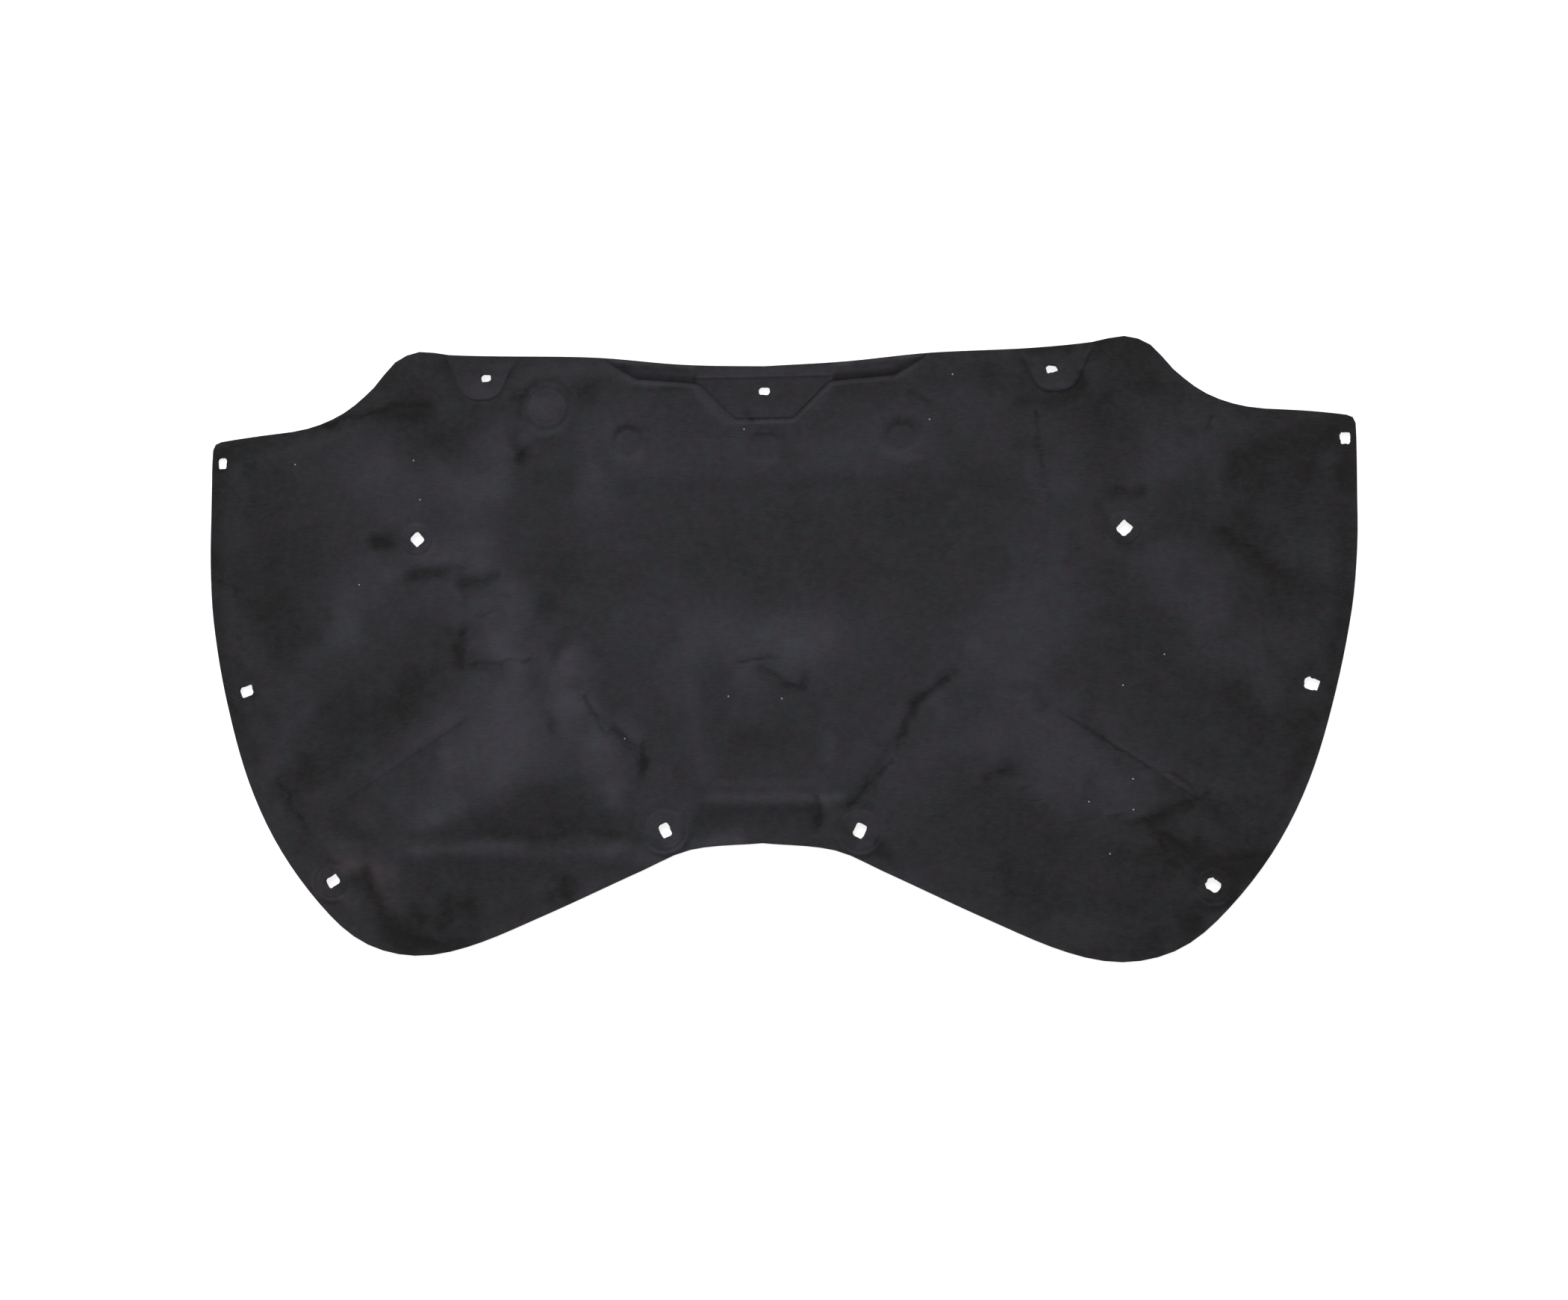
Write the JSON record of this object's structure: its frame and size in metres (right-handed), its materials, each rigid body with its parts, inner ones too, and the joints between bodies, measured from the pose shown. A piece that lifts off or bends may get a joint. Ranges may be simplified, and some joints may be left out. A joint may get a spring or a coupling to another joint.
{
  "type": "hood insulation pad",
  "caption": "Moulded felt pad for the underside of a car's hood: an arched front edge between two lobes, rear hinge notches, a washer nozzle recess and holes for push-in clips.",
  "frame": {"origin": "middle of the pad's plan, on the plane that its rim lies on", "axes": "+X across the car along the longest side, +Y towards the windscreen, +Z out of the moulded face that looks at the engine"},
  "size_m": [1.359, 0.722, 0.0098],
  "materials": {
    "felt": "matt needled felt, charcoal"
  },
  "bodies": {
    "root": {"insulation_pad": "felt"}
  },
  "joints": []
}
